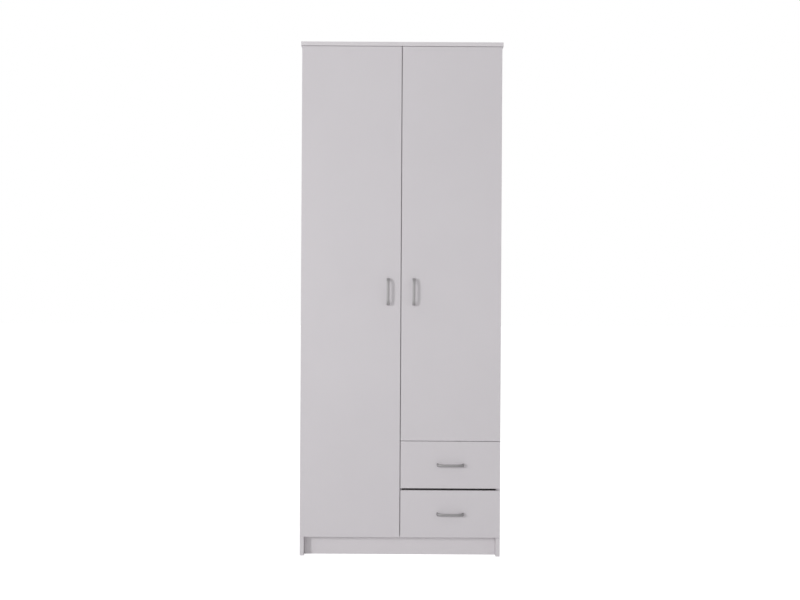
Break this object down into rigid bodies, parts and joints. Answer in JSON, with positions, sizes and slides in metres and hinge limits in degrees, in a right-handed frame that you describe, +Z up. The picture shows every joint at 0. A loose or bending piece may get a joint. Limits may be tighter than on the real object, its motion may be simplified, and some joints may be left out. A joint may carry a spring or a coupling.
{
  "type": "wardrobe with doors",
  "caption": "Tall flat-pack wardrobe with a full-height door beside a shorter door over stacked drawers, with bow handles, hanging rail and shelves.",
  "frame": {"origin": "on the floor, at the centre of the whole object's footprint, handles included", "axes": "+Z up, the doors and drawers face -Y, +X is to the right of someone standing in front"},
  "size_m": [0.786, 0.5444, 2],
  "materials": {
    "white_melamine": "white melamine-faced chipboard, satin, very fine texture, with matching edge banding",
    "drawer_melamine": "white foil-wrapped drawer board and white-faced bottom sheet, satin",
    "hardboard": "brown hardboard back sheet, its white-lacquered side facing in",
    "satin_nickel": "satin silver handle",
    "hinge_steel": "nickel-plated pressed steel",
    "runner_enamel": "white epoxy-coated pressed steel",
    "rail_chrome": "chromed oval steel tube",
    "white_plastic": "white moulded plastic"
  },
  "bodies": {
    "carcass": {"left_side_panel": "white_melamine", "right_side_panel": "white_melamine", "top_panel": "white_melamine", "bottom_panel": "white_melamine", "kickboard": "white_melamine", "centre_partition": "white_melamine", "hat_shelf": "white_melamine", "drawer_deck": "white_melamine", "shelf_1": "white_melamine", "shelf_2": "white_melamine", "shelf_3": "white_melamine", "back_panel_left": "hardboard", "back_panel_right": "hardboard", "hanging_rail": "rail_chrome", "left_rail_socket": "white_plastic", "right_rail_socket": "white_plastic", "lower_drawer_left_cabinet_runner": "runner_enamel", "lower_drawer_right_cabinet_runner": "runner_enamel", "upper_drawer_left_cabinet_runner": "runner_enamel", "upper_drawer_right_cabinet_runner": "runner_enamel", "left_door_lower_hinge_arm": "hinge_steel", "left_door_middle_hinge_arm": "hinge_steel", "left_door_upper_hinge_arm": "hinge_steel", "right_door_lower_hinge_arm": "hinge_steel", "right_door_middle_hinge_arm": "hinge_steel", "right_door_upper_hinge_arm": "hinge_steel"},
    "left_door_hinge_links": {"left_door_lower_hinge_link": "hinge_steel", "left_door_middle_hinge_link": "hinge_steel", "left_door_upper_hinge_link": "hinge_steel"},
    "left_door": {"left_door_panel": "white_melamine", "left_door_handle": "satin_nickel", "left_door_lower_hinge_cup": "hinge_steel", "left_door_middle_hinge_cup": "hinge_steel", "left_door_upper_hinge_cup": "hinge_steel"},
    "right_door_hinge_links": {"right_door_lower_hinge_link": "hinge_steel", "right_door_middle_hinge_link": "hinge_steel", "right_door_upper_hinge_link": "hinge_steel"},
    "right_door": {"right_door_panel": "white_melamine", "right_door_handle": "satin_nickel", "right_door_lower_hinge_cup": "hinge_steel", "right_door_middle_hinge_cup": "hinge_steel", "right_door_upper_hinge_cup": "hinge_steel"},
    "lower_drawer": {"lower_drawer_front": "white_melamine", "lower_drawer_left_side": "drawer_melamine", "lower_drawer_right_side": "drawer_melamine", "lower_drawer_back": "drawer_melamine", "lower_drawer_bottom": "drawer_melamine", "lower_drawer_left_drawer_runner": "runner_enamel", "lower_drawer_right_drawer_runner": "runner_enamel", "lower_drawer_handle": "satin_nickel"},
    "upper_drawer": {"upper_drawer_front": "white_melamine", "upper_drawer_left_side": "drawer_melamine", "upper_drawer_right_side": "drawer_melamine", "upper_drawer_back": "drawer_melamine", "upper_drawer_bottom": "drawer_melamine", "upper_drawer_left_drawer_runner": "runner_enamel", "upper_drawer_right_drawer_runner": "runner_enamel", "upper_drawer_handle": "satin_nickel"}
  },
  "joints": [
    {"name": "left_door_hinge_link", "type": "hinge", "parent": "carcass", "child": "left_door_hinge_links", "pos_m": [-0.3565, -0.22765, 1.02975], "axis": [0, 0, 1], "range_deg": [0, 57]},
    {"name": "left_door_hinge", "type": "hinge", "parent": "left_door_hinge_links", "child": "left_door", "pos_m": [-0.3765, -0.23415, 1.02975], "axis": [0, 0, -1], "range_deg": [0, 152]},
    {"name": "right_door_hinge_link", "type": "hinge", "parent": "carcass", "child": "right_door_hinge_links", "pos_m": [0.3565, -0.22765, 1.21725], "axis": [0, 0, -1], "range_deg": [0, 57]},
    {"name": "right_door_hinge", "type": "hinge", "parent": "right_door_hinge_links", "child": "right_door", "pos_m": [0.3765, -0.23415, 1.21725], "axis": [0, 0, 1], "range_deg": [0, 152]},
    {"name": "lower_drawer_slide", "type": "slide", "parent": "carcass", "child": "lower_drawer", "axis": [0, -1, 0], "range_m": [0, 0.335]},
    {"name": "upper_drawer_slide", "type": "slide", "parent": "carcass", "child": "upper_drawer", "axis": [0, -1, 0], "range_m": [0, 0.335]}
  ],
  "couplings": [
    {"joint": "left_door_hinge_link", "follows": "left_door_hinge", "ratio": 0.375},
    {"joint": "right_door_hinge_link", "follows": "right_door_hinge", "ratio": 0.375}
  ]
}
